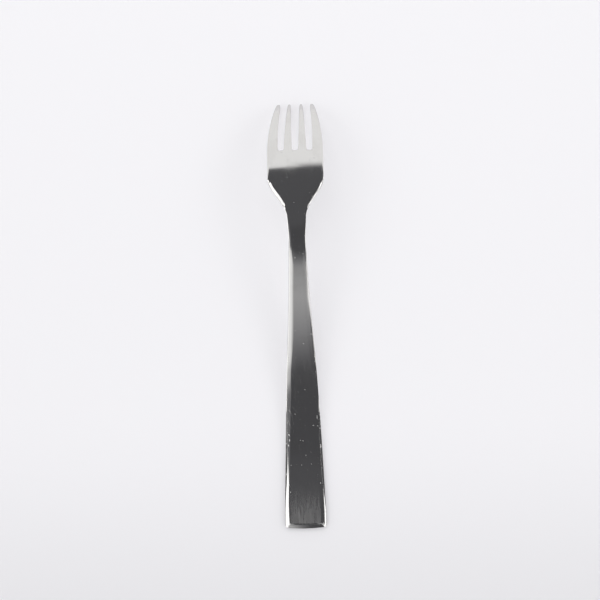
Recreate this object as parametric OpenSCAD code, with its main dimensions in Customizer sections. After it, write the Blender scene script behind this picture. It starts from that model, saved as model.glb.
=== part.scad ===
// Dinner fork: one piece of stainless steel, stamped flat, slotted and then bent.
// It lies on its front, with its back up: the tine tips and the handle's end touch the table.
// +Y runs from the handle's end to the tine tips, and the origin is on the table under its middle.

/* [Overall] */
// Length of the fork as it lies, from the handle's end to the tine tips
overall_length = 200; // [160:1:260]
// Slope of the handle where it climbs most steeply toward the head, in degrees
climb_angle = 14; // [10:0.5:18]
// Slope of the palm where the slots begin, in degrees
palm_angle = 20; // [12:1:26]

/* [Handle] */
// Width across the handle's end
end_width = 19.2; // [16:0.2:26]
// Length of the stretch at the handle's end where its sides run parallel
end_stretch = 10; // [4:1:20]
// Width halfway between the handle's end and the neck
middle_width = 14.8; // [11:0.2:18]
// Width of the neck, where the handle is narrowest
neck_width = 7.9; // [5.5:0.1:10]
// Thickness at the handle's end
end_thickness = 2.4; // [2:0.1:4]
// Thickness at the neck
neck_thickness = 3.6; // [2.4:0.1:5]
// Radius of the two corners of the handle's end
corner_radius = 0.8; // [0.4:0.1:1.8]
// How far the middle of the end edge stands out past its corners
end_bulge = 0.55; // [0:0.05:2]
// Width of the rolled edge across the handle's end
end_roll = 1.8; // [1:0.1:3]
// Width of the rolled side edges where they meet the handle's end
end_side_roll = 3; // [1.6:0.1:4]
// Width of the rolled edge down each side of the handle's back
side_roll = 2.4; // [1:0.1:3]
// Width of the rolled edge beside the neck
neck_roll = 1.1; // [0.6:0.1:1.6]
// Size of the small chamfer round the front
front_chamfer = 0.3; // [0.1:0.05:0.5]

/* [Head] */
// Width of the head across the palm
palm_width = 25.8; // [23:0.2:30]
// Thickness of the palm where the slots begin
palm_thickness = 2.1; // [1.6:0.1:3]
// Width of the rolled edge round the shoulders
shoulder_roll = 2.2; // [1:0.1:3]
// Width of the rolled edge along the palm
palm_roll = 0.7; // [0.4:0.1:1.4]
// How much higher the middle of the head stands than its sides
crown = 0.5; // [0:0.1:1]

/* [Tines] */
// Length of the slots, seen from above
slot_length = 23.2; // [15:0.5:30]
// Width of each slot at its closed end
slot_width = 2.75; // [2:0.05:3.2]
// Radius of the two corners of a slot's closed end
slot_corner = 0.9; // [0.3:0.05:0.95]
// Width of each inner tine at its root
inner_root_width = 3.9; // [3:0.1:4.2]
// Width of each inner tine just before its rounded tip
inner_tip_width = 1.6; // [1.2:0.1:2.4]
// Width of each outer tine just before its rounded tip
outer_tip_width = 2; // [1.4:0.1:2.6]
// How far the tip of an inner tine leans toward the middle
inner_lean = 0.6; // [0:0.1:1]
// How far the tip of an outer tine leans toward the middle
outer_lean = 2.7; // [1.5:0.1:3]
// Thickness of the tine tips
tip_thickness = 1.3; // [1:0.1:2]
// Length of the rounded nose in which each tine ends
nose_length = 2.6; // [1:0.1:5]

/* [Hidden] */

// Where the side curve changes its bend, as shares of the length from the handle's end
rest_share = 0.135;
climb_share = 0.55;
crest_share = 0.615;
heel_share = 0.74;
// The slope still left where the heel begins, as a share of the climb
heel_slope_share = 0.36;

// Where the outline and the thickness are set, as shares of the length
middle_share = 0.335;
taper_share = 0.54;
neck_share = 0.675;
foot_share = 0.728;
shoulder_share = 0.818;
// The handle's width between its middle and its neck, as a share of the way from one to the other
taper_width_share = 0.735;
// How much wider the neck is at the foot of the shoulders
foot_width_share = 1.12;

// How deep the rolled edges go, as shares of the thickness there
end_depth_share = 0.4;
end_side_depth_share = 0.57;
lower_depth_share = 0.48;
side_depth_share = 0.2;
neck_depth_share = 0.08;
shoulder_depth_share = 0.37;
palm_depth_share = 0.08;
tip_depth_share = 0.15;
// Up to here, as a share of the length, the side's rolled edge stays deep, and this much as wide
lower_share = 0.11;
lower_roll_share = 0.83;
// The stretch of the handle with a plain rolled edge, as shares of the length
plain_start_share = 0.2;
plain_end_share = 0.6;
// Where the shoulders have their full rolled edge, as a share of their own length
full_roll_share = 0.58;
// The rolled edge at the tine tips, as a share of the palm's
tip_roll_share = 0.6;
// How round the rolled edges are: a power of two is a quarter ellipse, and one a flat bevel
roll_power = 1.3;
// How much of the crown the handle has
handle_crown_share = 0.3;
// How far up the handle its end is felt, as a share of the length
end_fade_share = 0.1;

// How the outer tines narrow: a power over one keeps them wide near the palm
outer_taper = 1.5;
// How much of its width a tine loses in its nose
nose_share = 0.62;

// Sections of the body in each stretch, and points of each rounded part
end_steps = 6;
handle_steps = 20;
shoulder_steps = 14;
palm_steps = 5;
tine_steps = 12;
nose_steps = 4;
roll_steps = 3;
flat_steps = 4;
slot_steps = 12;
corner_steps = 5;

// How far a cut runs past the metal
cut_margin = 1;

root_y = overall_length - slot_length;
end_zone = max(end_roll, corner_radius);
shoulder_start = foot_share * overall_length;
shoulder_end = shoulder_share * overall_length;
outer_root_width = palm_width / 2 - slot_width * 3 / 2 - inner_root_width;
inner_root_x = slot_width / 2 + inner_root_width / 2;
outer_root_x = palm_width / 2 - outer_root_width / 2;

// Smooth step from 0 to 1 as u goes from 0 to 1
function ease(u) = let(v = max(0, min(1, u))) v * v * (3 - 2 * v);

// Slope of a knot list [[place, value], ...] at knot i, level with its neighbours
function knot_slope(knots, i) =
    let(a = max(0, i - 1), b = min(len(knots) - 1, i + 1))
    (knots[b][1] - knots[a][1]) / (knots[b][0] - knots[a][0]);

// Smooth curve through a knot list at the place y
function smooth(knots, y, i = 0) =
    i < len(knots) - 2 && y > knots[i + 1][0]
        ? smooth(knots, y, i + 1)
        : let(
            h = knots[i + 1][0] - knots[i][0],
            u = (y - knots[i][0]) / h,
            rise = knots[i + 1][1] - knots[i][1],
            first = knot_slope(knots, i) * h,
            last = knot_slope(knots, i + 1) * h
        )
        knots[i][1] + ease(u) * rise
            + u * (1 - u) * (1 - u) * first - u * u * (1 - u) * last;

// Side curve of the front face: arcs between these places, each [place, slope in degrees]
bends = [
    [0, 0],
    [rest_share * overall_length, 0],
    [climb_share * overall_length, climb_angle],
    [crest_share * overall_length, climb_angle],
    [heel_share * overall_length, climb_angle * heel_slope_share],
    [root_y, -palm_angle],
];

// Height of the front face at bend i: an arc's chord has the mean of its end slopes
function bend_height(i) =
    i == 0
        ? 0
        : bend_height(i - 1)
            + (bends[i][0] - bends[i - 1][0]) * tan((bends[i][1] + bends[i - 1][1]) / 2);
root_height = bend_height(len(bends) - 1);

// The tines go on as one arc that reaches the table at the tips
tip_angle = palm_angle - 2 * atan(root_height / slot_length);
arcs = concat(bends, [[overall_length, tip_angle]]);

function arc_index(y, i = 0) = i < len(arcs) - 2 && y > arcs[i + 1][0] ? arc_index(y, i + 1) : i;

// Slope of the front face at the place y, in degrees
function slope(y) =
    let(
        i = arc_index(y),
        u = (y - arcs[i][0]) / (arcs[i + 1][0] - arcs[i][0])
    )
    asin(sin(arcs[i][1]) * (1 - u) + sin(arcs[i + 1][1]) * u);

// Height of the front face over the table at the place y
function front_height(y) =
    let(i = arc_index(y))
    bend_height(i) + (y - arcs[i][0]) * tan((arcs[i][1] + slope(y)) / 2);

// Thickness of the metal, square to its faces
thickness_knots = [
    [0, end_thickness],
    [middle_share * overall_length, (end_thickness * 2 + neck_thickness) / 3],
    [neck_share * overall_length, neck_thickness],
    [root_y, palm_thickness],
    [overall_length, tip_thickness],
];

function thickness(y) = smooth(thickness_knots, y);

// How much the rolled end lowers the back at the place y
function end_drop(y) =
    let(u = 1 - min(1, y / end_roll))
    end_depth_share * end_thickness * (1 - pow(1 - pow(u, roll_power), 1 / roll_power));

// Half width of the handle, up to the foot of the shoulders
handle_knots = [
    [0, end_width / 2],
    [end_stretch, end_width / 2],
    [middle_share * overall_length, middle_width / 2],
    [
        taper_share * overall_length,
        (middle_width + (neck_width - middle_width) * taper_width_share) / 2
    ],
    [neck_share * overall_length, neck_width / 2],
    [shoulder_start, neck_width * foot_width_share / 2],
];

// A tine's centre and half width at the share v of the way from its root to its tip
function inner_x(v) = inner_root_x - inner_lean * v * v;
function outer_x(v) = outer_root_x - outer_lean * v * v;
function inner_half(v) =
    (inner_root_width + (inner_tip_width - inner_root_width) * v) / 2 * nose_width(v);
function outer_half(v) =
    (outer_root_width + (outer_tip_width - outer_root_width) * pow(v, outer_taper)) / 2
        * nose_width(v);

// The width that a tine keeps in its nose, from 1 before it to its blunt end
function nose_width(v) =
    let(u = max(0, 1 - (1 - v) * slot_length / nose_length))
    1 - nose_share * (1 - sqrt(1 - u * u));

// How far a rounded corner of the handle's end draws the side in at the place y
function corner_inset(y) =
    let(u = max(0, corner_radius - y))
    corner_radius - sqrt(corner_radius * corner_radius - u * u);

// How far the place y lies along the tines and along the shoulders, each from 0 to 1
function tine_way(y) = max(0, min(1, (y - root_y) / slot_length));
function shoulder_way(y) = ease((y - shoulder_start) / (shoulder_end - shoulder_start));

// Half width of the whole fork at the place y
function half_width(y) =
    y > root_y
        ? outer_x(tine_way(y)) + outer_half(tine_way(y))
        : let(handle_half = smooth(handle_knots, min(y, shoulder_start)))
        handle_half + (palm_width / 2 - handle_half) * shoulder_way(y) - corner_inset(y);

// How far the crown lets the sides of the back and of the front fall at the place y
function front_fall(y) = crown * shoulder_way(y) * (1 - ease(tine_way(y)));
function back_fall(y) =
    front_fall(y)
        + crown * handle_crown_share * ease(y / (end_fade_share * overall_length))
            * (1 - shoulder_way(y));

// Rolled edge of the back, each [place, width, depth as a share of the thickness]
rolls = [
    [0, end_side_roll, end_side_depth_share],
    [lower_share * overall_length, end_side_roll * lower_roll_share, lower_depth_share],
    [plain_start_share * overall_length, side_roll, side_depth_share],
    [plain_end_share * overall_length, side_roll, side_depth_share],
    [neck_share * overall_length, neck_roll, neck_depth_share],
    [shoulder_start, neck_roll, neck_depth_share],
    [
        shoulder_start + (shoulder_end - shoulder_start) * full_roll_share,
        shoulder_roll,
        shoulder_depth_share
    ],
    [shoulder_end, palm_roll, palm_depth_share],
    [overall_length, palm_roll * tip_roll_share, tip_depth_share],
];

// The rolled edge at the place y, as in the list above
function roll(y, i = 0) =
    i < len(rolls) - 2 && y > rolls[i + 1][0]
        ? roll(y, i + 1)
        : let(u = ease((y - rolls[i][0]) / (rolls[i + 1][0] - rolls[i][0])))
        rolls[i] * (1 - u) + rolls[i + 1] * u;

// One half of the section at the place y, from the middle of the front round to the middle of the back
function half_section(y) =
    let(
        w = half_width(y),
        t = thickness(y),
        b = min(roll(y)[1], w - front_chamfer),
        d = roll(y)[2] * t,
        lost = end_drop(y),
        // The side's roll stops where it meets the end's, so that the two meet in a mitre
        turn = asin(pow(1 - lost / d, roll_power / 2)),
        flat_w = w - b + b * pow(cos(turn), 2 / roll_power)
    )
    concat(
        [for (k = [0:flat_steps]) [(w - front_chamfer) * k / flat_steps, 0]],
        [[w, front_chamfer]],
        [
            for (k = [0:roll_steps])
                let(a = turn * k / roll_steps)
                [w - b + b * pow(cos(a), 2 / roll_power), t - d + d * pow(sin(a), 2 / roll_power)]
        ],
        [for (k = [flat_steps - 1:-1:0]) [flat_w * k / flat_steps, t - lost]]
    );

// The whole section as points in space, once round: the other half mirrors the first
function section_ring(y) =
    let(
        side = half_section(y),
        n = len(side),
        w = half_width(min(y, root_y)),
        bulge = end_bulge * (1 - ease(y / (end_fade_share * overall_length)))
    )
    [
        for (k = [0:2 * n - 3])
            let(
                m = k < n ? k : 2 * n - 2 - k,
                x = k < n ? side[m][0] : -side[m][0],
                out = x * x / (w * w),
                fall = m < flat_steps + 2 ? front_fall(y) : back_fall(y)
            )
            [
                x,
                y + bulge * out - overall_length / 2,
                front_height(y) + (side[m][1] - fall * out) / cos(slope(y))
            ]
    ];

// Places after a, up to and including b, in even steps
function steps(a, b, count) = [for (k = [1:count]) a + (b - a) * k / count];

// Where the sections lie, closer together round the ends and on the shoulders
nose_places = [
    for (k = [1:nose_steps]) overall_length - nose_length * (1 - sin(90 * k / nose_steps))
];
section_places = concat(
    [for (k = [0:end_steps]) end_zone * (1 - cos(90 * k / end_steps))],
    steps(end_zone, shoulder_start, handle_steps),
    steps(shoulder_start, shoulder_end, shoulder_steps),
    steps(shoulder_end, root_y, palm_steps),
    steps(root_y, overall_length - nose_length, tine_steps),
    nose_places
);

function reversed(list) = [for (k = [len(list) - 1:-1:0]) list[k]];

// The blank: a closed skin over all the sections, with a cap at each end
module blank() {
    rings = [for (y = section_places) section_ring(y)];
    n = len(rings[0]);
    back = n / 2;
    last = (len(rings) - 1) * n;
    skin = [
        for (j = [0:len(rings) - 2], k = [0:n - 1])
            let(
                a = j * n + k,
                b = j * n + (k + 1) % n
            )
            each [[a, b, b + n], [a, b + n, a + n]]
    ];
    // A cap's right half runs upright from the front to the back, and its left half mirrors it
    right = concat(
        [for (k = [0:flat_steps - 1]) each [[k, back - k, k + 1], [back - k, back - k - 1, k + 1]]],
        [[for (k = [back - flat_steps:-1:flat_steps]) k]]
    );
    left = [for (face = right) [for (k = reversed(face)) (n - k) % n]];
    first_cap = concat(right, left);
    last_cap = [for (face = first_cap) [for (k = reversed(face)) last + k]];
    polyhedron(points = [for (ring = rings) each ring], faces = concat(skin, first_cap, last_cap));
}

// Edges of the slots as x at the share v: the middle slot's, then the two of a side slot
function middle_edge(v) = inner_x(v) - inner_half(v);
function side_edges(v) = [inner_x(v) + inner_half(v), outer_x(v) - outer_half(v)];
function slot_edges(side, v) = side == 0 ? [-middle_edge(v), middle_edge(v)] : side_edges(v);

// Outline of one slot: square-ended at the palm with rounded corners, and flared round the tips
module slot_outline(side) {
    corner_y = root_y + slot_corner;
    places = concat(steps(corner_y, overall_length - nose_length, slot_steps), nose_places);
    root = slot_edges(side, 0);
    first_corner = [
        for (k = [0:corner_steps])
            let(a = 90 * k / corner_steps)
            [root[0] + slot_corner * (1 - sin(a)), corner_y - slot_corner * cos(a)]
    ];
    first_edge = [for (y = places) [slot_edges(side, tine_way(y))[0], y]];
    last_edge = [for (y = reversed(places)) [slot_edges(side, tine_way(y))[1], y]];
    last_corner = [
        for (k = [corner_steps:-1:0])
            let(a = 90 * k / corner_steps)
            [root[1] - slot_corner * (1 - sin(a)), corner_y - slot_corner * cos(a)]
    ];
    beyond = overall_length + cut_margin;
    open_end = [[first_edge[len(places) - 1][0], beyond], [last_edge[0][0], beyond]];
    polygon(concat(first_corner, first_edge, open_end, last_edge, last_corner));
}

// The three slots that part the four tines
module slots() {
    cut_height = root_height + neck_thickness + cut_margin * 2;
    translate([0, -overall_length / 2, -cut_margin])
        linear_extrude(height = cut_height) {
            slot_outline(0);
            slot_outline(1);
            mirror([1, 0]) slot_outline(1);
        }
}

module fork() {
    color("silver") difference() {
        blank();
        slots();
    }
}

fork();
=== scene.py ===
import math

import bpy
from mathutils import Matrix, Vector
from mathutils.kdtree import KDTree


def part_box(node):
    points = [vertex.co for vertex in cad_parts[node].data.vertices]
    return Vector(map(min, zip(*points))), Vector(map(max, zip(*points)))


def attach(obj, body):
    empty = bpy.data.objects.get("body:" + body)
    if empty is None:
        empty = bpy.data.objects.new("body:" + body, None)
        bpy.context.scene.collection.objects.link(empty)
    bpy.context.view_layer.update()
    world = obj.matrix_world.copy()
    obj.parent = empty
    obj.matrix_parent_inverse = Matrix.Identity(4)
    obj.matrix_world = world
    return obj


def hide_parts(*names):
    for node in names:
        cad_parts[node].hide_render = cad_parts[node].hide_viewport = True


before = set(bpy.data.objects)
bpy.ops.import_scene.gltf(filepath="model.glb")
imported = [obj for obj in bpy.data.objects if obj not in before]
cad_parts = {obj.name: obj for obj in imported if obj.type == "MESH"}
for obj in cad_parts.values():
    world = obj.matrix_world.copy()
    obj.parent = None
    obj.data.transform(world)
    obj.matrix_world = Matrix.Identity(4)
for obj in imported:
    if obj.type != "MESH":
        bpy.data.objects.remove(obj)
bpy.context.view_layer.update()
print("frame loaded:", ", ".join(sorted(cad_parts)))

mm = 0.001
tiny = 1e-9

# The fork lies along Y. Lengths are in millimetres, and places are measured from the handle's end.

forkLow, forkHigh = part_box("fork")
forkLength = (forkHigh.y - forkLow.y) / mm
headWidth = (forkHigh.x - forkLow.x) / mm

sideCurve = {
    "restShare": 0.135,  # the handle lies flat up to this share of the length
    "climbShare": 0.55,
    "crestShare": 0.615,
    "heelShare": 0.74,
    "climbAngle": 14.0,  # degrees
    "heelSlopeShare": 0.36,
    "palmAngle": 20.0,
}

outline = {
    "endWidth": 19.2,
    "endStretch": 10.0,  # the sides run parallel for this far
    "middleWidth": 14.8,
    "neckWidth": 7.9,
    "middleShare": 0.335,
    "taperShare": 0.54,
    "taperWidthShare": 0.7,
    "neckShare": 0.675,
    "footShare": 0.728,
    "footWidthShare": 1.12,
    "shoulderShare": 0.818,
    "cornerRadius": 0.8,
    "endBulge": 0.55,  # the middle of the end stands out past its corners by this
    "bulgeFadeShare": 0.1,
}

tines = {
    "slotLength": 23.2,
    "slotWidth": 2.75,
    "slotCorner": 0.9,
    "innerRootWidth": 3.9,
    "innerTipWidth": 1.6,
    "outerTipWidth": 2.0,
    "innerLean": 0.6,
    "outerLean": 2.7,
    "outerTaper": 1.5,
    "noseLength": 2.6,
    "noseShare": 0.62,  # share of the width that the rounded tip takes away at its end
    "rollsAtMost": 0.9,  # share of a tine's width that its two rolled edges may take
}

metal = {
    "endThickness": 2.4,
    "neckThickness": 3.6,
    "palmThickness": 2.1,
    "tipThickness": 1.3,
    "endRoll": [1.8, 0.85, 1.06],  # width, depth and power of the rounding across the handle's end
    "slotRoll": [0.5, 0.2, 1.3],  # the same along the slots
    "lowerSlope": 0.75,  # of the strip below the rolled edge of the handle
    "frontRounding": 0.35,
    "crown": 0.5,  # the back of the head stands this much higher in the middle
    "handleCrownShare": 0.3,  # the handle has this much of the head's crown
    "handleCrownRise": 0.1,  # and comes up to it over this share of the length
}

# the rolled edge of the back along the outside, each [place share, width, depth, power, width of
# the steeper strip below it], where a power of 2 is a round edge and one nearer 1 a flat bevel
edgeRoll = [
    [0.0, 2.4, 1.08, 1.15, 0],
    [0.04, 2.2, 0.99, 1.15, 0.15],
    [0.063, 2.0, 0.9, 1.15, 0.3],
    [0.087, 2.0, 0.86, 1.15, 0.52],
    [0.11, 2.1, 0.84, 1.15, 0.75],
    [0.134, 2.3, 0.8, 1.15, 0.95],
    [0.16, 2.3, 0.74, 1.15, 1.0],
    [0.2, 2.3, 0.6, 1.15, 0.9],
    [0.25, 2.4, 0.6, 1.15, 0.5],
    [0.31, 2.5, 0.6, 1.12, 0],
    [0.37, 2.1, 0.52, 1.12, 0],
    [0.46, 2.8, 0.62, 1.6, 0],
    [0.6, 2.6, 0.56, 1.7, 0],
    [0.66, 1.35, 0.35, 1.3, 0],
    [0.71, 1.1, 0.25, 1.2, 0],
    [0.73, 0.9, 0.18, 1.2, 0],
    [0.745, 0.7, 0.15, 1.2, 0],
    [0.757, 1.5, 0.68, 1.2, 0],
    [0.775, 1.7, 0.84, 1.2, 0],
    [0.805, 1.4, 0.74, 1.2, 0],
    [0.815, 0.7, 0.2, 1.2, 0],
    [1.0, 0.5, 0.2, 1.5, 0],
]

meshing = {
    "rollLines": 13,  # lines across each rolled edge
    "tineStrips": 5,  # between the rolled edges of each tine
    "gapCorner": 4,  # lines round each corner of a slot's closed end
    "gapFlat": 3,
    "endRows": 10,
    "handleRows": 110,
    "shoulderRows": 44,
    "palmRows": 28,
    "tineRows": 56,
    "noseRows": 8,
    "palmCrowding": 1.6,  # the rows of the palm crowd together toward the slots
    "endCreases": [0.97, 0.99, 1.01, 1.03],  # more rows where the roll of the end stops
    "stripCreases": [0.0, 0.03, 0.96, 0.99, 1.01, 1.04],  # lines along the strip, by its width
    "stripAtLeast": 0.3,
    "nearestEdges": 3,  # points of the edge that are tried for each point's distance
    "tipRounds": 4,  # rounds of fitting the tips' place
    "bendRounds": 6,  # and of finding a place on the blank
}

rootPlace = forkLength - tines["slotLength"]
footPlace = outline["footShare"] * forkLength
shoulderPlace = outline["shoulderShare"] * forkLength
cornerPlace = rootPlace + tines["slotCorner"]


def ease(u):
    u = max(0.0, min(1.0, u))
    return u * u * (3 - 2 * u)


def smoothCurve(knots, place):  # a smooth curve through [place, value] knots
    i = 0
    while i < len(knots) - 2 and place > knots[i + 1][0]:
        i += 1

    def knotSlope(k):
        before, after = knots[max(0, k - 1)], knots[min(len(knots) - 1, k + 1)]
        return (after[1] - before[1]) / (after[0] - before[0])

    step = knots[i + 1][0] - knots[i][0]
    u = (place - knots[i][0]) / step
    lead = u * (1 - u) ** 2 * knotSlope(i) * step
    trail = u * u * (1 - u) * knotSlope(i + 1) * step
    return knots[i][1] + ease(u) * (knots[i + 1][1] - knots[i][1]) + lead - trail


def steps(start, end, count):  # places after the start, up to and including the end
    return [start + (end - start) * k / count for k in range(1, count + 1)]


# Outline, seen from above

handleKnots = [
    [0, outline["endWidth"] / 2],
    [outline["endStretch"], outline["endWidth"] / 2],
    [outline["middleShare"] * forkLength, outline["middleWidth"] / 2],
    [
        outline["taperShare"] * forkLength,
        (
            outline["middleWidth"]
            + (outline["neckWidth"] - outline["middleWidth"]) * outline["taperWidthShare"]
        )
        / 2,
    ],
    [outline["neckShare"] * forkLength, outline["neckWidth"] / 2],
    [footPlace, outline["neckWidth"] * outline["footWidthShare"] / 2],
]

thicknessKnots = [
    [0, metal["endThickness"]],
    [
        outline["middleShare"] * forkLength,
        (metal["endThickness"] * 2 + metal["neckThickness"]) / 3,
    ],
    [outline["neckShare"] * forkLength, metal["neckThickness"]],
    [rootPlace, metal["palmThickness"]],
    [forkLength, metal["tipThickness"]],
]

outerRootWidth = headWidth / 2 - tines["slotWidth"] * 1.5 - tines["innerRootWidth"]
innerRootX = (tines["slotWidth"] + tines["innerRootWidth"]) / 2
outerRootX = (headWidth - outerRootWidth) / 2


def roundInset(distance, radius):  # how far a round corner draws a side in, this close to its end
    u = max(0.0, min(radius, radius - distance))
    return radius - math.sqrt(radius * radius - u * u)


def tineShare(place):
    return max(0.0, min(1.0, (place - rootPlace) / tines["slotLength"]))


def tineEdges(tine, place):  # tine 0 is an inner one and tine 1 an outer one, on the right side
    v = tineShare(place)
    if tine:
        middle = outerRootX - tines["outerLean"] * v * v
        taper = v ** tines["outerTaper"]
        width = outerRootWidth + (tines["outerTipWidth"] - outerRootWidth) * taper
    else:
        middle = innerRootX - tines["innerLean"] * v * v
        width = tines["innerRootWidth"] + (tines["innerTipWidth"] - tines["innerRootWidth"]) * v
    near = max(0.0, min(1.0, 1 - (forkLength - place) / tines["noseLength"]))
    half = width / 2 * (1 - tines["noseShare"] * (1 - math.sqrt(1 - near * near)))
    return middle - half, middle + half


def halfWidth(place):
    if place > rootPlace:
        return tineEdges(1, place)[1]
    handle = smoothCurve(handleKnots, min(place, footPlace))
    shoulder = ease((place - footPlace) / (shoulderPlace - footPlace))
    corner = roundInset(place, outline["cornerRadius"])
    return handle + (headWidth / 2 - handle) * shoulder - corner


def rollAt(place):  # the rolled edge at this place, as in the list above
    share = max(0.0, min(1.0, place / forkLength))
    for a, b in zip(edgeRoll, edgeRoll[1:]):
        if share <= b[0]:
            break
    blend = ease((share - a[0]) / (b[0] - a[0]))
    return [start + (end - start) * blend for start, end in zip(a[1:], b[1:])]


def crownShare(x, place):  # how far the crown has fallen here on the back and the front, 0 to 1
    rise = ease(place / (metal["handleCrownRise"] * forkLength))
    handle = metal["handleCrownShare"] * rise
    head = ease((place - footPlace) / (shoulderPlace - footPlace))
    tip = 1 - ease((place - rootPlace) / tines["slotLength"])
    across = (x / halfWidth(min(place, rootPlace))) ** 2
    return across * (handle + (tip - handle) * head), across * head * tip


# Side curve: the front face runs along these arcs, each [place, slope]


def sideArcs():
    climb = math.radians(sideCurve["climbAngle"])
    palm = math.radians(sideCurve["palmAngle"])
    arcs = [
        [0.0, 0.0],
        [sideCurve["restShare"] * forkLength, 0.0],
        [sideCurve["climbShare"] * forkLength, climb],
        [sideCurve["crestShare"] * forkLength, climb],
        [sideCurve["heelShare"] * forkLength, climb * sideCurve["heelSlopeShare"]],
        [rootPlace, -palm],
    ]
    height = sum((b[0] - a[0]) * math.tan((a[1] + b[1]) / 2) for a, b in zip(arcs, arcs[1:]))
    tipPlace = forkLength
    for _ in range(meshing["tipRounds"]):  # the tips' back edge reaches further than their front
        tipSlope = palm - 2 * math.atan(height / (tipPlace - rootPlace))
        tipPlace = forkLength + metal["tipThickness"] * math.sin(tipSlope)
    return arcs + [[tipPlace, tipSlope]]


arcs = sideArcs()


def bentLength(start, end):  # length of metal along one arc, or straight
    (a, slopeA), (b, slopeB) = start, end
    if abs(slopeB - slopeA) < tiny:
        return (b - a) / math.cos(slopeA)
    return (b - a) * (slopeB - slopeA) / (math.sin(slopeB) - math.sin(slopeA))


def frontSlope(place):  # the slope of the front, and the length of metal up to there
    i = 0
    while i < len(arcs) - 2 and place > arcs[i + 1][0]:
        i += 1
    a, b = arcs[i], arcs[i + 1]
    u = (place - a[0]) / (b[0] - a[0])
    slope = math.asin(math.sin(a[1]) * (1 - u) + math.sin(b[1]) * u)
    before = sum(bentLength(p, q) for p, q in zip(arcs[:i], arcs[1 : i + 1]))
    return slope, before + bentLength(a, [place, slope])


def blankPlace(place):  # where a place seen from above lies on the blank before it is bent
    front = place
    for _ in range(meshing["bendRounds"]):
        slope, along = frontSlope(max(0.0, min(arcs[-1][0], front)))
        front = place + smoothCurve(thicknessKnots, place) * math.sin(slope)
    return along


# The flat blank, as rows of points from the handle's end to the slots and then along each tine


def rollSpots(width, lower=None):  # distances from the edge, close together where the strip ends
    first, spots = 0.0, []
    if lower is not None:
        lower = max(lower, meshing["stripAtLeast"])
        *spots, first = [share * lower for share in meshing["stripCreases"]]
    count = meshing["rollLines"] - len(spots) - 1
    rest = [1 - math.cos(math.pi / 2 * k / count) for k in range(count + 1)]
    return spots + [first + (width - first) * share for share in rest]


def tineRow(tine, place):
    left, right = tineEdges(1 if tine in (0, 3) else 0, place)
    if tine < 2:
        left, right = -right, -left
    rolls = [metal["slotRoll"][0]] * 2
    if tine == 0:
        rolls[0] = rollAt(place)[0]
    if tine == 3:
        rolls[1] = rollAt(place)[0]
    fit = min(1.0, tines["rollsAtMost"] * (right - left) / sum(rolls))
    leftRoll, rightRoll = rolls[0] * fit, rolls[1] * fit
    row = [left + spot for spot in rollSpots(leftRoll)]
    row += steps(left + leftRoll, right - rightRoll, meshing["tineStrips"])[:-1]
    return row + [right - spot for spot in reversed(rollSpots(rightRoll))]


def gapCurve(gap):  # the closed end of a slot, between its two tines
    left, right = tineRow(gap, cornerPlace)[-1], tineRow(gap + 1, cornerPlace)[0]
    radius, count = tines["slotCorner"], meshing["gapCorner"]
    turns = [math.pi / 2 * k / count for k in range(1, count + 1)]
    corner = [(radius * (1 - math.cos(a)), cornerPlace - radius * math.sin(a)) for a in turns]
    flat = steps(left + radius, right - radius, meshing["gapFlat"])
    points = [(left + inset, y) for inset, y in corner] + [(x, rootPlace) for x in flat]
    return points + [(right - inset, y) for inset, y in reversed(corner[:-1])]


def lastRow():
    points, isTine = [], []
    for tine in range(4):
        row = tineRow(tine, cornerPlace)
        points += [(x, cornerPlace) for x in row]
        isTine.append((len(points) - len(row), len(points)))
        if tine < 3:
            points += gapCurve(tine)
    return points, isTine


slotRow, tineColumns = lastRow()
columnCount = len(slotRow)


def bodyRow(place, towardSlots):
    half, (roll, _, _, lower) = halfWidth(place), rollAt(place)
    spots, edge = rollSpots(roll, lower), meshing["rollLines"]
    flatHalf = half - roll
    slotHalf = slotRow[columnCount - edge][0]
    points = []
    for k, (slotX, slotY) in enumerate(slotRow):
        if k < edge:
            x = spots[k] - half
        elif k >= columnCount - edge:
            x = half - spots[columnCount - 1 - k]
        else:
            even = -1 + 2 * (k - edge + 1) / (columnCount - 2 * edge + 1)
            x = flatHalf * (even + (slotX / slotHalf - even) * ease(towardSlots))
        y = place + (slotY - cornerPlace) * towardSlots
        bulge = outline["endBulge"] * (1 - ease(place / (outline["bulgeFadeShare"] * forkLength)))
        points.append((x, y + bulge * (x / half) ** 2))
    return points


def bodyRows():
    rollEnd, creases = metal["endRoll"][0], meshing["endCreases"]
    turns = [math.pi / 2 * k / meshing["endRows"] for k in range(meshing["endRows"])]
    places = [rollEnd * (1 - math.cos(turn)) for turn in turns]
    places += [rollEnd * share for share in creases]
    places += steps(creases[-1] * rollEnd, footPlace, meshing["handleRows"])
    places += steps(footPlace, shoulderPlace, meshing["shoulderRows"])
    rows = [bodyRow(place, 0.0) for place in places]
    for share in steps(0.0, 1.0, meshing["palmRows"]):
        eased = 1 - (1 - share) ** meshing["palmCrowding"]
        rows.append(bodyRow(shoulderPlace + (cornerPlace - shoulderPlace) * eased, eased))
    rows[-1] = slotRow
    return rows


def tineRows(tine):
    noseStart = forkLength - tines["noseLength"]
    places = steps(cornerPlace, noseStart, meshing["tineRows"])
    places += [
        forkLength - tines["noseLength"] * (1 - math.sin(math.pi / 2 * k / meshing["noseRows"]))
        for k in range(1, meshing["noseRows"] + 1)
    ]
    return [[(x, place) for x in tineRow(tine, place)] for place in places]


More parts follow.
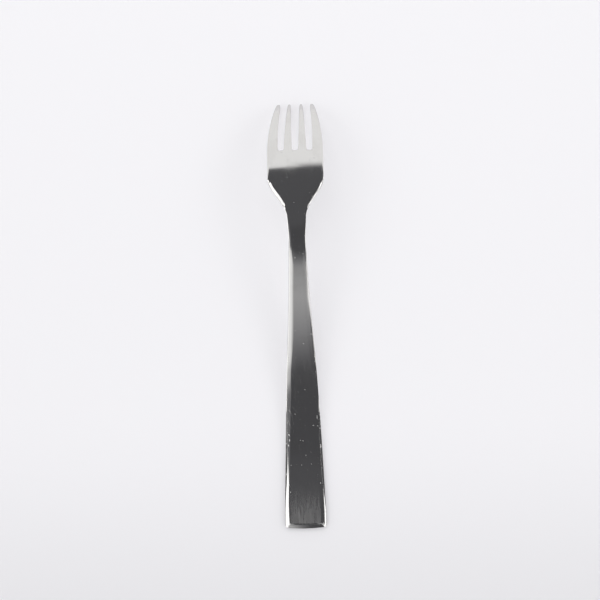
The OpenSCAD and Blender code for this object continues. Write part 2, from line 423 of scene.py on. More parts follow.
def makeBlank():
    points, quads = [], []

    def addRow(row):
        points.extend(row)
        return list(range(len(points) - len(row), len(points)))

    def joinRows(a, b):
        for k in range(len(a) - 1):
            quads.append((a[k], a[k + 1], b[k + 1], b[k]))

    body = [addRow(row) for row in bodyRows()]
    for a, b in zip(body, body[1:]):
        joinRows(a, b)
    tineGrids = []
    for tine, (first, last) in enumerate(tineColumns):
        grid = [body[-1][first:last]] + [addRow(row) for row in tineRows(tine)]
        for a, b in zip(grid, grid[1:]):
            joinRows(a, b)
        tineGrids.append(grid)
    # once round the edge, each point with its roll, or None where the list edgeRoll gives it
    ring = [(v, metal["endRoll"] + [0]) for v in body[0][1:-1]]
    ring += [(row[-1], None) for row in body]
    slot = metal["slotRoll"] + [0]
    for tine in (3, 2, 1, 0):
        grid = tineGrids[tine]
        ring += [(row[-1], None if tine == 3 else slot) for row in grid[1:]]
        ring += [(v, slot) for v in reversed(grid[-1][1:-1])]
        ring += [(row[0], None if tine == 0 else slot) for row in reversed(grid[1:])]
        if tine:
            first = tineColumns[tine][0]
            previous = tineColumns[tine - 1][1]
            ring += [(v, slot) for v in reversed(body[-1][previous - 1 : first + 1])]
    ring += [(row[0], None) for row in reversed(body)]
    return points, quads, ring


def edgeDistances(points, ring):  # how far each point is from the edge, and where on the ring
    tree = KDTree(len(ring))
    edge = [Vector((*points[v], 0)) for v, _ in ring]
    for k, point in enumerate(edge):
        tree.insert(point, k)
    tree.balance()
    found = []
    for x, y in points:
        point = Vector((x, y, 0))
        best = None
        for _, k, _ in tree.find_n(point, meshing["nearestEdges"]):
            for a, b in ((k - 1, k), (k, (k + 1) % len(ring))):
                side = edge[b] - edge[a]
                reach = (point - edge[a]).dot(side) / max(side.length_squared, tiny)
                distance = (point - edge[a] - side * max(0.0, min(1.0, reach))).length
                if best is None or distance < best[0]:
                    best = (distance, k)
        found.append(best)
    return found


def blankMesh():
    points, quads, ring = makeBlank()
    flat = [(x, blankPlace(y)) for x, y in points]
    distances = edgeDistances(flat, ring)
    n = len(points)
    vertices = [(x * mm, y * mm, 0) for x, y in flat] * 2  # the front sheet, then the back sheet
    faces = [tuple(reversed(q)) for q in quads] + [tuple(v + n for v in q) for q in quads]
    loop = [v for v, _ in ring]
    for a, b in zip(loop, loop[1:] + loop[:1]):
        faces.append((a, b, b + n, a + n))
    mesh = bpy.data.meshes.new("forkBlank")
    mesh.from_pydata(vertices, [], faces)
    names = ["edgeDistance", "rollWidth", "rollDepth", "rollPower", "lowerWidth"]
    names += ["thickness", "crownShare", "backSide"]
    values = {name: [] for name in names}
    for side in (0.0, 1.0):
        for (x, y), (distance, k) in zip(points, distances):
            place = points[ring[k][0]][1]
            width, depth, power, lower = ring[k][1] or rollAt(place)
            values["edgeDistance"].append(distance * mm)
            values["rollWidth"].append(width * mm)
            values["rollDepth"].append(depth * mm)
            values["rollPower"].append(power)
            values["lowerWidth"].append(lower * mm)
            values["thickness"].append(smoothCurve(thicknessKnots, y) * mm)
            values["crownShare"].append(crownShare(x, y)[0 if side else 1])
            values["backSide"].append(side)
    for name, numbers in values.items():
        attribute = mesh.attributes.new(name, "FLOAT", "POINT")
        attribute.data.foreach_set("value", numbers)
    return mesh


# Geometry Nodes: the blank gets its thickness and rolled edges, and is then bent in a row of arcs


class Nodes:  # short calls for the nodes of one tree
    def __init__(self, tree):
        self.tree = tree
        self.groupKind = tree.bl_idname.replace("NodeTree", "NodeGroup")

    def add(self, kind, **settings):
        node = self.tree.nodes.new(kind)
        for name, value in settings.items():
            setattr(node, name, value)
        return node

    def feed(self, socket, value):
        if isinstance(value, bpy.types.NodeSocket):
            self.tree.links.new(value, socket)
        else:
            socket.default_value = value

    def math(self, operation, *values):
        node = self.add("ShaderNodeMath", operation=operation)
        for socket, value in zip(node.inputs, values):
            self.feed(socket, value)
        return node.outputs[0]

    def vector(self, operation, *values):
        node = self.add("ShaderNodeVectorMath", operation=operation)
        for socket, value in zip(node.inputs, values):
            self.feed(socket, value)
        return node.outputs[0]

    def dot(self, a, b):
        node = self.add("ShaderNodeVectorMath", operation="DOT_PRODUCT")
        self.feed(node.inputs[0], a)
        self.feed(node.inputs[1], b)
        return node.outputs["Value"]

    def scale(self, vector, factor):
        node = self.add("ShaderNodeVectorMath", operation="SCALE")
        self.feed(node.inputs[0], vector)
        self.feed(node.inputs["Scale"], factor)
        return node.outputs[0]

    def split(self, vector):
        node = self.add("ShaderNodeSeparateXYZ")
        self.feed(node.inputs[0], vector)
        return node.outputs

    def join(self, *values):
        node = self.add("ShaderNodeCombineXYZ")
        for socket, value in zip(node.inputs, values):
            self.feed(socket, value)
        return node.outputs[0]

    def noise(self, vector, detail, roughness, scale=1.0):
        node = self.add("ShaderNodeTexNoise", noise_dimensions="3D")
        names = ("Vector", "Scale", "Detail", "Roughness")
        for name, value in zip(names, (vector, scale, detail, roughness)):
            self.feed(node.inputs[name], value)
        return node.outputs[0]

    def fade(self, value, full, gone):  # 1 at the first place and 0 from the second on
        node = self.add("ShaderNodeMapRange", interpolation_type="SMOOTHSTEP")
        names = ("Value", "From Min", "From Max", "To Min", "To Max")
        for name, number in zip(names, (value, full, gone, 1.0, 0.0)):
            self.feed(node.inputs[name], number)
        return node.outputs[0]

    def mix(self, share, first, second):  # two colours, which go into sockets 6 and 7
        node = self.add("ShaderNodeMix", data_type="RGBA")
        for socket, value in zip((0, 6, 7), (share, first, second)):
            self.feed(node.inputs[socket], value)
        return node.outputs[2]

    def group(self, tree, values):
        node = self.add(self.groupKind, node_tree=tree)
        for name, value in values.items():
            self.feed(node.inputs[name], value)
        return node.outputs

    def shape(self, kind, shape, **values):  # a step that takes a shape and gives one
        node = self.add(kind)
        for name, value in {"Geometry": shape, **values}.items():
            self.feed(node.inputs[name], value)
        return node.outputs[0]


def pressBendGroup():
    tree = bpy.data.node_groups.new("pressBend", "GeometryNodeTree")
    face = tree.interface
    face.new_socket("Geometry", in_out="INPUT", socket_type="NodeSocketGeometry")
    for name in ("Start", "Length", "Angle"):
        face.new_socket(name, in_out="INPUT", socket_type="NodeSocketFloat")
    face.new_socket("Geometry", in_out="OUTPUT", socket_type="NodeSocketGeometry")
    nodes = Nodes(tree)
    given = nodes.add("NodeGroupInput").outputs
    x, y, z = nodes.split(nodes.add("GeometryNodeInputPosition").outputs[0])
    along = nodes.math("SUBTRACT", y, given["Start"])
    inside = nodes.math("MINIMUM", nodes.math("MAXIMUM", along, 0.0), given["Length"])
    past = nodes.math("SUBTRACT", along, inside)
    turned = nodes.math("MULTIPLY", given["Angle"], nodes.math("DIVIDE", inside, given["Length"]))
    radius = nodes.math("DIVIDE", given["Length"], given["Angle"])
    arm = nodes.math("SUBTRACT", radius, z)
    sine, cosine = nodes.math("SINE", turned), nodes.math("COSINE", turned)
    turnedY, turnedZ = nodes.math("MULTIPLY", arm, sine), nodes.math("MULTIPLY", arm, cosine)
    newY = nodes.math("ADD", turnedY, nodes.math("MULTIPLY", past, cosine))
    newY = nodes.math("ADD", newY, given["Start"])
    newZ = nodes.math("SUBTRACT", radius, turnedZ)
    newZ = nodes.math("ADD", newZ, nodes.math("MULTIPLY", past, sine))
    place = nodes.join(x, newY, newZ)
    moved = nodes.shape("GeometryNodeSetPosition", given["Geometry"], Position=place)
    nodes.feed(nodes.add("NodeGroupOutput").inputs["Geometry"], moved)
    return tree


def bendList():  # every bend as name, start on the blank, length of metal and angle
    bends, start = [], 0.0
    names = ["rest", "climb", "crest", "neck", "heel", "tines"]
    for name, a, b in zip(names, arcs, arcs[1:]):
        length = bentLength(a, b)
        if abs(b[1] - a[1]) > tiny:
            bends.append((name, start * mm, length * mm, b[1] - a[1]))
        start += length
    return bends


def forkTree(bends):
    tree = bpy.data.node_groups.new("pressedFork", "GeometryNodeTree")
    face = tree.interface
    face.new_socket("Geometry", in_out="INPUT", socket_type="NodeSocketGeometry")
    names = ["Front Rounding", "Lower Slope", "Crown", "Shift"]
    for bend in bends:
        names += [f"{bend[0]} {word}" for word in ("Start", "Length", "Angle")]
    for name in names:
        face.new_socket(name, in_out="INPUT", socket_type="NodeSocketFloat")
    face.new_socket("Material", in_out="INPUT", socket_type="NodeSocketMaterial")
    face.new_socket("Geometry", in_out="OUTPUT", socket_type="NodeSocketGeometry")
    nodes = Nodes(tree)
    given = nodes.add("NodeGroupInput").outputs

    def attribute(name):
        node = nodes.add("GeometryNodeInputNamedAttribute", data_type="FLOAT")
        node.inputs["Name"].default_value = name
        return node.outputs["Attribute"]

    def nearness(distance, width):  # 1 at the edge, 0 from this width on
        share = nodes.math("DIVIDE", distance, width)
        return nodes.math("SUBTRACT", 1.0, nodes.math("MINIMUM", share, 1.0))

    distance, power = attribute("edgeDistance"), attribute("rollPower")
    upper = nodes.math("MAXIMUM", distance, attribute("lowerWidth"))
    near = nearness(upper, attribute("rollWidth"))
    fall = nodes.math("SUBTRACT", 1.0, nodes.math("POWER", near, power))
    level = nodes.math("POWER", fall, nodes.math("DIVIDE", 1.0, power))
    rolled = nodes.math("MULTIPLY", nodes.math("SUBTRACT", 1.0, level), attribute("rollDepth"))
    strip = nodes.math("MULTIPLY", nodes.math("SUBTRACT", upper, distance), given["Lower Slope"])
    rolled = nodes.math("ADD", rolled, strip)
    back = nodes.math("SUBTRACT", attribute("thickness"), rolled)
    rounding = given["Front Rounding"]
    near = nearness(distance, rounding)
    level = nodes.math("SQRT", nodes.math("SUBTRACT", 1.0, nodes.math("MULTIPLY", near, near)))
    front = nodes.math("MULTIPLY", rounding, nodes.math("SUBTRACT", 1.0, level))
    toBack = nodes.math("MULTIPLY", attribute("backSide"), nodes.math("SUBTRACT", back, front))
    crown = nodes.math("MULTIPLY", attribute("crownShare"), given["Crown"])
    height = nodes.math("SUBTRACT", nodes.math("ADD", front, toBack), crown)
    lift = nodes.join(0.0, 0.0, height)
    shape = nodes.shape("GeometryNodeSetPosition", given["Geometry"], Offset=lift)
    bendGroup = pressBendGroup()
    for name, *_ in reversed(bends):  # the tines first, so that each bend starts from flat metal
        values = {word: given[f"{name} {word}"] for word in ("Start", "Length", "Angle")}
        shape = nodes.group(bendGroup, {"Geometry": shape, **values})[0]
    shift = nodes.join(0.0, given["Shift"], 0.0)
    shape = nodes.shape("GeometryNodeSetPosition", shape, Offset=shift)
    shape = nodes.shape("GeometryNodeSetShadeSmooth", shape)
    shape = nodes.shape("GeometryNodeRealizeInstances", shape)
    shape = nodes.shape("GeometryNodeSetMaterial", shape, Material=given["Material"])
    nodes.feed(nodes.add("NodeGroupOutput").inputs["Geometry"], shape)
    return tree


def setInputs(modifier, values):
    for item in modifier.node_group.interface.items_tree:
        if item.item_type == "SOCKET" and item.in_out == "INPUT" and item.name in values:
            modifier[item.identifier] = values[item.name]


def makeFork(material):
    blank = bpy.data.objects.new("forkBlank", blankMesh())
    bpy.context.scene.collection.objects.link(blank)
    bends = bendList()
    modifier = blank.modifiers.new("press", "NODES")
    modifier.node_group = forkTree(bends)
    values = {
        "Front Rounding": metal["frontRounding"] * mm,
        "Lower Slope": metal["lowerSlope"],
        "Crown": metal["crown"] * mm,
        "Shift": forkLow.y,
        "Material": material,
    }
    for name, start, length, angle in bends:
        values.update({f"{name} Start": start, f"{name} Length": length, f"{name} Angle": angle})
    setInputs(modifier, values)
    seen = blank.evaluated_get(bpy.context.evaluated_depsgraph_get())
    mesh = bpy.data.meshes.new_from_object(seen)
    mesh.name = "pressedFork"
    for name in ("rollWidth", "rollDepth", "rollPower", "lowerWidth", "thickness", "crownShare"):
        mesh.attributes.remove(mesh.attributes[name])
    fork = bpy.data.objects.new("pressedFork", mesh)
    bpy.context.scene.collection.objects.link(fork)
    bpy.data.objects.remove(blank)
    print("fork made:", len(mesh.polygons), "faces,", len(bends), "bends")
    return fork


# Material: satin steel, with its grain, scratches, nicks and finger marks as groups of their own


def shaderGroup(name, inputs, outputs):
    tree = bpy.data.node_groups.new(name, "ShaderNodeTree")
    for socket, value in inputs.items():
        kind = "NodeSocketVector" if value is None else "NodeSocketFloat"
        made = tree.interface.new_socket(socket, in_out="INPUT", socket_type=kind)
        if value is not None:
            made.default_value = value
    for socket in outputs:
        tree.interface.new_socket(socket, in_out="OUTPUT", socket_type="NodeSocketFloat")
    nodes = Nodes(tree)
    return nodes, nodes.add("NodeGroupInput").outputs, nodes.add("NodeGroupOutput").inputs


def grainGroup():  # fine lines left by the brushing, along the fork
    inputs = {"Place": None, "Fineness": 6.0, "Stretch": 30.0, "Upward": 0.5}
    inputs.update({"Patch Fineness": 0.45, "Patch Stretch": 7.0})
    nodes, given, out = shaderGroup("satinGrain", inputs, ["Lines", "Patches"])
    across, along, up = nodes.split(given["Place"])
    fineY = nodes.math("DIVIDE", along, given["Stretch"])
    fine = nodes.join(across, fineY, nodes.math("MULTIPLY", up, given["Upward"]))
    lines = nodes.noise(nodes.scale(fine, given["Fineness"]), detail=4.0, roughness=0.7)
    nodes.feed(out["Lines"], lines)
    broad = nodes.join(across, nodes.math("DIVIDE", along, given["Patch Stretch"]), up)
    patches = nodes.noise(nodes.scale(broad, given["Patch Fineness"]), detail=3.0, roughness=0.6)
    nodes.feed(out["Patches"], patches)
    return nodes.tree


def scratchGroup():  # one short straight scratch in each square of a grid, turned at random
    inputs = {"Place": None, "Square": 4.0, "Length": 0.6, "Width": 0.02, "Spread": 0.6}
    inputs.update({"Wander": 0.4, "Amount": 0.5, "Seed": 0.0})
    nodes, given, out = shaderGroup("scratches", inputs, ["Mask"])
    across, along, _ = nodes.split(given["Place"])
    flat = nodes.join(across, along, 0.0)
    grid = nodes.vector("DIVIDE", flat, nodes.join(given["Square"], given["Square"], 1.0))
    grid = nodes.vector("ADD", grid, nodes.join(given["Seed"], given["Seed"], 0.0))
    cell = nodes.vector("FLOOR", grid)
    chance = nodes.add("ShaderNodeTexWhiteNoise", noise_dimensions="3D")
    nodes.feed(chance.inputs["Vector"], nodes.vector("ADD", cell, (0.5, 0.5, 0.3)))
    first, second, third = nodes.split(chance.outputs["Color"])

    def eitherWay(share, most):  # a random share as a number from minus to plus half the most
        return nodes.math("MULTIPLY", nodes.math("SUBTRACT", share, 0.5), most)

    local = nodes.vector("SUBTRACT", nodes.vector("FRACTION", grid), (0.5, 0.5, 0.0))
    wander = given["Wander"]
    shift = nodes.join(eitherWay(second, wander), eitherWay(third, wander), 0.0)
    turn = nodes.add("ShaderNodeVectorRotate", rotation_type="Z_AXIS")
    nodes.feed(turn.inputs["Vector"], nodes.vector("SUBTRACT", local, shift))
    nodes.feed(turn.inputs["Angle"], eitherWay(first, given["Spread"]))
    side, ahead, _ = nodes.split(turn.outputs[0])
    thin = nodes.fade(nodes.math("ABSOLUTE", side), 0.0, given["Width"])
    halfLength = nodes.math("MULTIPLY", given["Length"], 0.5)
    short = nodes.fade(nodes.math("ABSOLUTE", ahead), 0.0, halfLength)
    there = nodes.math("LESS_THAN", chance.outputs["Value"], given["Amount"])
    nodes.feed(out["Mask"], nodes.math("MULTIPLY", nodes.math("MULTIPLY", thin, short), there))
    return nodes.tree


def strokeGroup():  # one placed scratch, from one point to another
    inputs = {"Place": None, "Start": None, "End": None, "Width": 0.1}
    nodes, given, out = shaderGroup("stroke", inputs, ["Mask"])
    across, along, _ = nodes.split(given["Place"])
    here = nodes.vector("SUBTRACT", nodes.join(across, along, 0.0), given["Start"])
    line = nodes.vector("SUBTRACT", given["End"], given["Start"])
    reach = nodes.math("DIVIDE", nodes.dot(here, line), nodes.dot(line, line))
    held = nodes.math("MINIMUM", nodes.math("MAXIMUM", reach, 0.0), 1.0)
    nearest = nodes.vector("MULTIPLY", line, nodes.join(held, held, held))
    gap = nodes.add("ShaderNodeVectorMath", operation="DISTANCE")
    nodes.feed(gap.inputs[0], here)
    nodes.feed(gap.inputs[1], nearest)
    nodes.feed(out["Mask"], nodes.fade(gap.outputs["Value"], 0.0, given["Width"]))
    return nodes.tree


def nickGroup():  # small bright dents, mostly along the edges
    inputs = {"Place": None, "Edge Distance": 1.0, "Reach": 1.4, "Density": 0.8, "Size": 0.26}
    inputs.update({"Often": 0.6, "Rare": 0.06})  # how many by the edges, and everywhere
    nodes, given, out = shaderGroup("nicks", inputs, ["Mask"])
    cells = nodes.add("ShaderNodeTexVoronoi", voronoi_dimensions="3D")
    nodes.feed(cells.inputs["Vector"], given["Place"])
    nodes.feed(cells.inputs["Scale"], given["Density"])
    size = nodes.math("MULTIPLY", given["Size"], given["Density"])
    spot = nodes.fade(cells.outputs["Distance"], 0.0, size)
    chance, _, _ = nodes.split(cells.outputs["Color"])
    near = nodes.fade(given["Edge Distance"], 0.0, given["Reach"])
    often = nodes.math("ADD", nodes.math("MULTIPLY", near, given["Often"]), given["Rare"])
    there = nodes.math("LESS_THAN", chance, often)
    nodes.feed(out["Mask"], nodes.math("MULTIPLY", spot, there))
    return nodes.tree


def smudgeGroup():  # faint marks of handling
    inputs = {"Place": None, "Size": 9.0, "Clean": 0.48, "Smudged": 0.68}
    nodes, given, out = shaderGroup("smudges", inputs, ["Mask"])
    place = nodes.vector("DIVIDE", given["Place"], nodes.join(*[given["Size"]] * 3))
    ramp = nodes.add("ShaderNodeMapRange", interpolation_type="SMOOTHSTEP")
    nodes.feed(ramp.inputs["Value"], nodes.noise(place, detail=3.0, roughness=0.55))
    nodes.feed(ramp.inputs["From Min"], given["Clean"])
    nodes.feed(ramp.inputs["From Max"], given["Smudged"])
    nodes.feed(out["Mask"], ramp.outputs[0])
    return nodes.tree


def rubGroup():  # the handle's end is rubbed duller, in soft streaks
    inputs = {"Place": None, "Edge Distance": 5.0, "Full": -97.0, "Gone": -66.0}
    inputs.update({"Outside": 1.9, "Inside": 2.8})  # distances from the edge
    inputs.update({"Streaks": 1.8, "Stretch": 18.0, "Fineness": 2.2})
    nodes, given, out = shaderGroup("rubbedEnd", inputs, ["Mask"])
    across, along, _ = nodes.split(given["Place"])
    near = nodes.fade(along, given["Full"], given["Gone"])
    border = nodes.fade(given["Edge Distance"], given["Outside"], given["Inside"])
    near = nodes.math("MULTIPLY", near, nodes.math("SUBTRACT", 1.0, border))
    thin = nodes.join(across, nodes.math("DIVIDE", along, given["Stretch"]), 0.0)
    streaks = nodes.noise(nodes.scale(thin, given["Fineness"]), detail=3.0, roughness=0.7)
    lift = nodes.math("MULTIPLY", nodes.math("SUBTRACT", streaks, 0.5), given["Streaks"])
    part = nodes.math("ADD", 1.0, lift)
    nodes.feed(out["Mask"], nodes.math("MULTIPLY", near, part))
    return nodes.tree


def steelMaterial():
    look = {
        "colour": (0.662, 0.655, 0.646, 1),
        "duller": (0.64, 0.63, 0.62, 1),  # under finger marks
        "roughness": 0.09,
        "grainRoughness": 0.05,
        "smudgeRoughness": 0.025,
        "scratchRoughness": 0.3,
        "nickRoughness": 0.45,
        "rubRoughness": 0.22,
        # each size of scratch: square of the grid, length as a share of it, width, spread of the
        # directions in radians, share of the squares that have one, seed and strength
        "scratches": [
            [2.6, 0.7, 0.05, 0.7, 0.2, 3.1, 0.7],
            [9.0, 0.9, 0.08, 0.3, 0.5, 11.7, 0.5],
            [5.0, 0.95, 0.25, 0.08, 0.6, 31.2, 0.28],
            [6.5, 0.6, 0.06, 5.0, 0.14, 23.4, 0.5],
        ],
        "grainBump": 0.0006,  # millimetres of height
        "scratchBump": -0.004,
        "strokeBump": -0.02,
        "nickBump": -0.07,
    }
    # placed scratches: start and end in millimetres from the fork's middle, width and strength
    strokes = [
        [(-3.1, -92.0), (-2.9, -97.4), 0.4, 0.22],
        [(-1.7, -89.2), (-1.5, -98.0), 0.36, 0.3],
        [(-0.3, -93.5), (-0.1, -98.2), 0.42, 0.2],
        [(0.8, -88.0), (1.2, -94.5), 0.3, 0.2],
        [(2.1, -90.6), (2.4, -97.9), 0.45, 0.34],
        [(3.4, -94.0), (3.5, -98.3), 0.3, 0.18],
        [(4.6, -86.0), (4.5, -92.8), 0.25, 0.2],
        [(-4.4, -84.0), (-4.3, -91.0), 0.3, 0.14],
        [(-6.5, -44.0), (-5.1, -46.8), 0.16, 0.5],
        [(-5.1, -46.8), (-4.9, -49.4), 0.14, 0.45],
        [(-4.9, -49.4), (-4.1, -51.6), 0.12, 0.35],
        [(-4.9, -42.5), (-2.6, -45.2), 0.12, 0.3],
        [(-7.0, -49.0), (-5.6, -53.2), 0.12, 0.4],
        [(-2.4, -60.0), (-1.2, -66.5), 0.1, 0.4],
        [(1.4, -57.5), (3.2, -60.5), 0.1, 0.4],
        [(-7.4, 59.5), (-6.9, 56.6), 0.14, 0.5],
        [(-6.3, 57.9), (-5.6, 55.2), 0.1, 0.35],
        [(-2.0, 52.0), (-1.2, 49.6), 0.12, 0.4],
        [(3.2, 47.0), (4.4, 49.5), 0.1, 0.4],
    ]
    # placed nicks in the same way, most of them along the rolled edges
    dents = [
        [(4.6, -51.4), (4.8, -51.5), 0.3, 1.0],
        [(6.8, -51.7), (7.0, -51.9), 0.24, 0.6],
        [(6.7, -47.0), (6.7, -48.4), 0.18, 0.5],
        [(-1.6, -58.4), (-1.4, -58.3), 0.24, 0.6],
        [(-0.4, -58.6), (-0.2, -58.7), 0.26, 0.8],
        [(-7.0, -55.6), (-6.9, -56.0), 0.34, 1.0],
        [(-6.7, -58.0), (-6.7, -58.5), 0.26, 0.9],
        [(-7.3, -60.5), (-7.3, -60.9), 0.3, 0.9],
        [(0.8, -65.4), (0.9, -65.5), 0.24, 0.6],
        [(3.2, -64.0), (3.3, -64.1), 0.2, 0.4],
        [(3.3, -69.6), (3.4, -69.7), 0.26, 0.6],
        [(7.9, -60.6), (8.0, -61.9), 0.22, 0.8],
        [(-6.9, -82.6), (-6.8, -82.8), 0.28, 0.8],
        [(-0.9, 52.3), (-0.8, 52.2), 0.24, 0.7],
    ]
    material = bpy.data.materials.new("satinSteel")
    material.use_nodes = True
    nodes = Nodes(material.node_tree)
    shader = material.node_tree.nodes["Principled BSDF"]
    place = nodes.scale(nodes.add("ShaderNodeTexCoord").outputs["Object"], 1 / mm)
    edge = nodes.add("ShaderNodeAttribute", attribute_name="edgeDistance")
    edgeDistance = nodes.math("MULTIPLY", edge.outputs["Fac"], 1 / mm)
    grain = nodes.group(grainGroup(), {"Place": place})
    scratches = scratchGroup()
    scratched = 0.0
    for square, length, width, spread, amount, seed, strength in look["scratches"]:
        values = {"Square": square, "Length": length, "Width": width / square}
        values.update({"Spread": spread, "Amount": amount, "Seed": seed, "Place": place})
        mask = nodes.math("MULTIPLY", nodes.group(scratches, values)["Mask"], strength)
        scratched = nodes.math("MAXIMUM", scratched, mask)
    side = nodes.add("ShaderNodeAttribute", attribute_name="backSide").outputs["Fac"]
    strokeTree = strokeGroup()

    def draw(lines):  # on the back only
        drawn = 0.0
        for start, end, width, strength in lines:
            values = {"Place": place, "Start": (*start, 0), "End": (*end, 0), "Width": width}
            mask = nodes.math("MULTIPLY", nodes.group(strokeTree, values)["Mask"], strength)
            drawn = nodes.math("MAXIMUM", drawn, mask)
        return nodes.math("MULTIPLY", drawn, side)

    drawn = draw(strokes)
    marks = nodes.math("MAXIMUM", scratched, drawn)
    rubbed = nodes.group(rubGroup(), {"Place": place, "Edge Distance": edgeDistance})["Mask"]
    nicks = nodes.group(nickGroup(), {"Place": place, "Edge Distance": edgeDistance})["Mask"]
    nicks = nodes.math("MAXIMUM", nicks, draw(dents))
    smudges = nodes.group(smudgeGroup(), {"Place": place})["Mask"]
    tint = nodes.mix(smudges, look["colour"], look["duller"])
    nodes.feed(shader.inputs["Base Color"], tint)

    rough = look["roughness"]
    for mask, amount in (
        (nodes.math("SUBTRACT", grain["Lines"], 0.5), look["grainRoughness"]),
        (nodes.math("SUBTRACT", grain["Patches"], 0.5), look["grainRoughness"]),
        (smudges, look["smudgeRoughness"]),
        (marks, look["scratchRoughness"]),
        (nicks, look["nickRoughness"]),
        (rubbed, look["rubRoughness"]),
    ):
        rough = nodes.math("ADD", nodes.math("MULTIPLY", mask, amount), rough)
    nodes.feed(shader.inputs["Roughness"], rough)

    height = nodes.math("MULTIPLY", grain["Lines"], look["grainBump"])
    for mask, depth in (
        (scratched, look["scratchBump"]),
        (drawn, look["strokeBump"]),
        (nicks, look["nickBump"]),
    ):
        height = nodes.math("ADD", height, nodes.math("MULTIPLY", mask, depth))
    bump = nodes.add("ShaderNodeBump")
    bump.inputs["Distance"].default_value = mm
    nodes.feed(bump.inputs["Height"], height)
    nodes.feed(shader.inputs["Normal"], bump.outputs[0])
    shader.inputs["Metallic"].default_value = 1.0
    return material


def floorMaterial():  # a pale base with a painted glow, so that shadows on it stay faint
    look = {
        "colour": (0.55, 0.545, 0.56, 1),
        "roughness": 0.7,
        "specular": 0.2,
        "light": (1.0, 0.992, 1.02, 1),
        "far": 0.398,  # strength of the painted glow beyond the tines
        "near": 0.29,  # and toward the handle's end, where the painted glow is dimmer
        "fade": (-0.17, -0.04),  # metres along the fork
        "contact": 0.007,  # painted contact shadow: the base's glow is darker within this distance of the handle's flat end
        "contactShade": 0.75,
        "contactFade": (-0.075, -0.045),
    }
    material = bpy.data.materials.new("paleBase")
    material.use_nodes = True
    nodes = Nodes(material.node_tree)
    shader = material.node_tree.nodes["Principled BSDF"]
    shader.inputs["Base Color"].default_value = look["colour"]
    shader.inputs["Roughness"].default_value = look["roughness"]
    shader.inputs["Specular IOR Level"].default_value = look["specular"]
    shader.inputs["Emission Color"].default_value = look["light"]
    # painted glow of the base, dimmer toward the handle's end
    _, along, _ = nodes.split(nodes.add("ShaderNodeTexCoord").outputs["Object"])
    fall = nodes.math("MULTIPLY", nodes.fade(along, *look["fade"]), look["near"] - look["far"])
    # painted contact shadow: ambient occlusion dims the glow near the handle's end
    shade = nodes.add("ShaderNodeAmbientOcclusion")
    shade.inputs["Distance"].default_value = look["contact"]
    shaded = nodes.math("SUBTRACT", 1.0, shade.outputs["AO"])
    shaded = nodes.math("MULTIPLY", shaded, look["contactShade"])
    shaded = nodes.math("MULTIPLY", shaded, nodes.fade(along, *look["contactFade"]))
    level = nodes.math("ADD", fall, look["far"])
    level = nodes.math("MULTIPLY", level, nodes.math("SUBTRACT", 1.0, shaded))
    nodes.feed(shader.inputs["Emission Strength"], level)
    return material


def makeFloor():
    mesh = bpy.data.meshes.new("floor")
    reach = 2.0
    corners = [(-reach, -reach, 0), (reach, -reach, 0), (reach, reach, 0), (-reach, reach, 0)]
    mesh.from_pydata(corners, [], [(0, 1, 2, 3)])
    floor = bpy.data.objects.new("floor", mesh)
    bpy.context.scene.collection.objects.link(floor)
    mesh.materials.append(floorMaterial())


# The room, as panels seen from the fork. A direction is how far it leans in X and Y per unit up.

room = {
    "dimLevel": 0.086,
    "leastUp": 0.02,  # level directions are read as this steep
    "dimColour": (0.97, 0.97, 1.05, 1),  # dim parts are a little cooler
    "paleColour": (1, 1, 1, 1),
    "paleGain": 2.0,  # a level is as pale as this times itself, up to one
    # round the horizon the room is pale on every side, by the height of a direction of length one
    "horizonLevel": 1.06,
    "horizonFade": (0.11, 0.19),
}

# each panel: level, X from and to, Y from and to, softness in X and Y, and slant of its Y edges
panels = {
    "farWall": [1.06, -60, 0.0, 0.695, 60, 0.1, 0.03, 0],
    "farCorner": [1.06, -0.15, 60, 0.735, 60, 0.08, 0.09, 0.1],
    "ceiling": [0.104, -60, 60, -0.2, 60, 0.5, 0.06, 0],
    "nearGlow": [0.93, -0.7, 0.7, -0.72, -0.545, 0.3, 0.27, 0],
    "nearLeft": [1.1, -2.8, -0.26, -2.3, -0.37, 0.33, 0.05, 0],
    "nearRight": [1.2, 0.4, 2.3, -1.3, -0.56, 0.2, 0.06, 0],
    "rightCorner": [1.6, 0.85, 2.35, -60, -0.56, 0.1, 0.06, 0],
    "rightFar": [1.6, 2.2, 60, -60, -1.05, 0.1, 0.1, 0],
    "leftWindow": [1.9, -2.7, -0.86, -0.35, 0.42, 0.08, 0.1, 0],
    "leftWall": [1.6, -2.7, -0.95, -60, -0.25, 0.1, 0.1, 0],
    "leftFar": [1.2, -8, -2.4, -60, -1.1, 0.2, 0.2, 0],
    "rightWindow": [1.9, 1.27, 2.4, -0.5, 0.75, 0.1, 0.06, 0],
    "leftHaze": [0.2, -4, -0.4, -60, -0.1, 0.15, 0.15, 0],
}


def panelGroup():
    names = ["Lean X", "Lean Y", "Level", "X From", "X To", "Y From", "Y To"]
    names += ["Soft X", "Soft Y", "Slant"]
    nodes, given, out = shaderGroup("roomPanel", dict.fromkeys(names, 0.0), ["Level"])
    leanX = given["Lean X"]
    leanY = nodes.math("SUBTRACT", given["Lean Y"], nodes.math("MULTIPLY", leanX, given["Slant"]))

    def fall(value, edge, soft):  # 1 to 0 across the edge
        low, high = nodes.math("SUBTRACT", edge, soft), nodes.math("ADD", edge, soft)
        return nodes.fade(value, low, high)

    def between(value, axis):
        soft = given[f"Soft {axis}"]
        rise = nodes.math("SUBTRACT", 1.0, fall(value, given[f"{axis} From"], soft))
        return nodes.math("MULTIPLY", rise, fall(value, given[f"{axis} To"], soft))

    mask = nodes.math("MULTIPLY", between(leanX, "X"), between(leanY, "Y"))
    nodes.feed(out["Level"], nodes.math("MULTIPLY", mask, given["Level"]))
    return nodes.tree, names


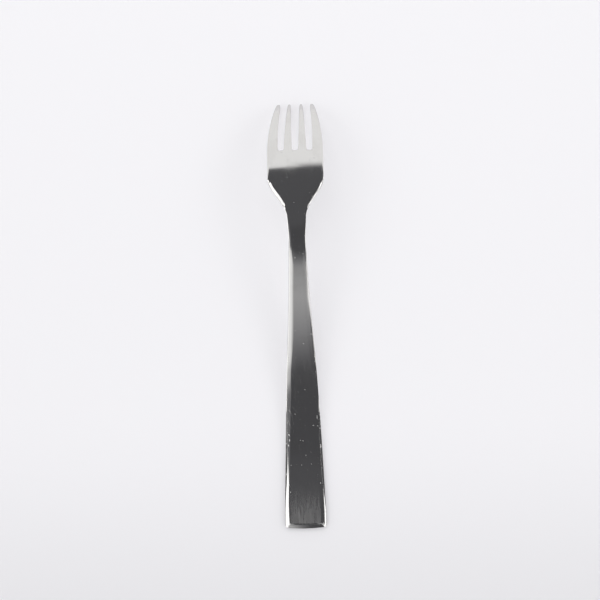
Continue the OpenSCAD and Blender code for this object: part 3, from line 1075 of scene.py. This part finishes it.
def makeWorld():
    world = bpy.data.worlds.new("room")
    bpy.context.scene.world = world
    world.use_nodes = True
    nodes = Nodes(world.node_tree)
    background = world.node_tree.nodes["Background"]
    x, y, z = nodes.split(nodes.add("ShaderNodeTexCoord").outputs["Generated"])
    up = nodes.math("MAXIMUM", z, room["leastUp"])
    leanX, leanY = nodes.math("DIVIDE", x, up), nodes.math("DIVIDE", y, up)
    group, names = panelGroup()
    light = room["dimLevel"]
    for panel in panels.values():
        values = dict(zip(names, [leanX, leanY] + panel))
        light = nodes.math("MAXIMUM", light, nodes.group(group, values)["Level"])
    low = nodes.fade(z, *room["horizonFade"])
    toward = nodes.math("MULTIPLY", low, nodes.math("SUBTRACT", room["horizonLevel"], light))
    light = nodes.math("ADD", light, toward)
    nodes.feed(background.inputs["Strength"], light)
    pale = nodes.math("MULTIPLY", light, room["paleGain"])
    colour = nodes.mix(pale, room["dimColour"], room["paleColour"])
    nodes.feed(background.inputs["Color"], colour)


# The panels above give the reflections, and these lamps light the table, together with the table's
# own painted glow.

lamps = {
    "topLamp": {"place": (-0.1, 0.5, 0.8), "size": 0.8, "power": 2.7},
    "rightLamp": {"place": (1.1, 0.1, 0.6), "size": 1.2, "power": 2.4},
}


def makeLamps():
    for name, lamp in lamps.items():
        data = bpy.data.lights.new(name, "AREA")
        data.size = lamp["size"]
        data.energy = lamp["power"]
        light = bpy.data.objects.new(name, data)
        light.location = lamp["place"]
        light.rotation_euler = (-Vector(lamp["place"])).to_track_quat("-Z", "Y").to_euler()
        light.visible_glossy = False
        bpy.context.scene.collection.objects.link(light)


view = {
    "height": 0.65,
    "field": 0.2832,  # metres across the photograph, at the table
    "aside": 0.026,  # the camera stands a little to the right
    "aim": (-0.00012, 0.0076),
    "turn": 1.49,  # degrees
    "sensor": 36.0,
}


def makeCamera():
    data = bpy.data.cameras.new("camera")
    turn = math.radians(view["turn"])
    aimX, aimY = view["aim"]
    # picture axes on the table: the fork's length leans a little to the left in the picture
    across = Vector((math.cos(turn), -math.sin(turn), 0))
    upward = Vector((math.sin(turn), math.cos(turn), 0))
    aim = Vector((aimX, aimY, 0))
    place = aim + across * view["aside"] + Vector((0, 0, view["height"]))
    look = (aim - place).normalized()
    right = look.cross(upward).normalized()
    top = right.cross(look)
    camera = bpy.data.objects.new("camera", data)
    turnTo = Matrix((right, top, -look)).transposed().to_4x4()
    camera.matrix_world = Matrix.Translation(place) @ turnTo
    data.sensor_width = view["sensor"]
    data.lens = data.sensor_width * (aim - place).length / view["field"]
    bpy.context.scene.collection.objects.link(camera)
    bpy.context.scene.camera = camera


makeCamera()
makeWorld()
makeLamps()
makeFloor()
print("camera, room and lamps set")

fork = makeFork(steelMaterial())
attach(fork, "root")
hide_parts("fork")

bpy.context.scene.view_settings.view_transform = "Standard"
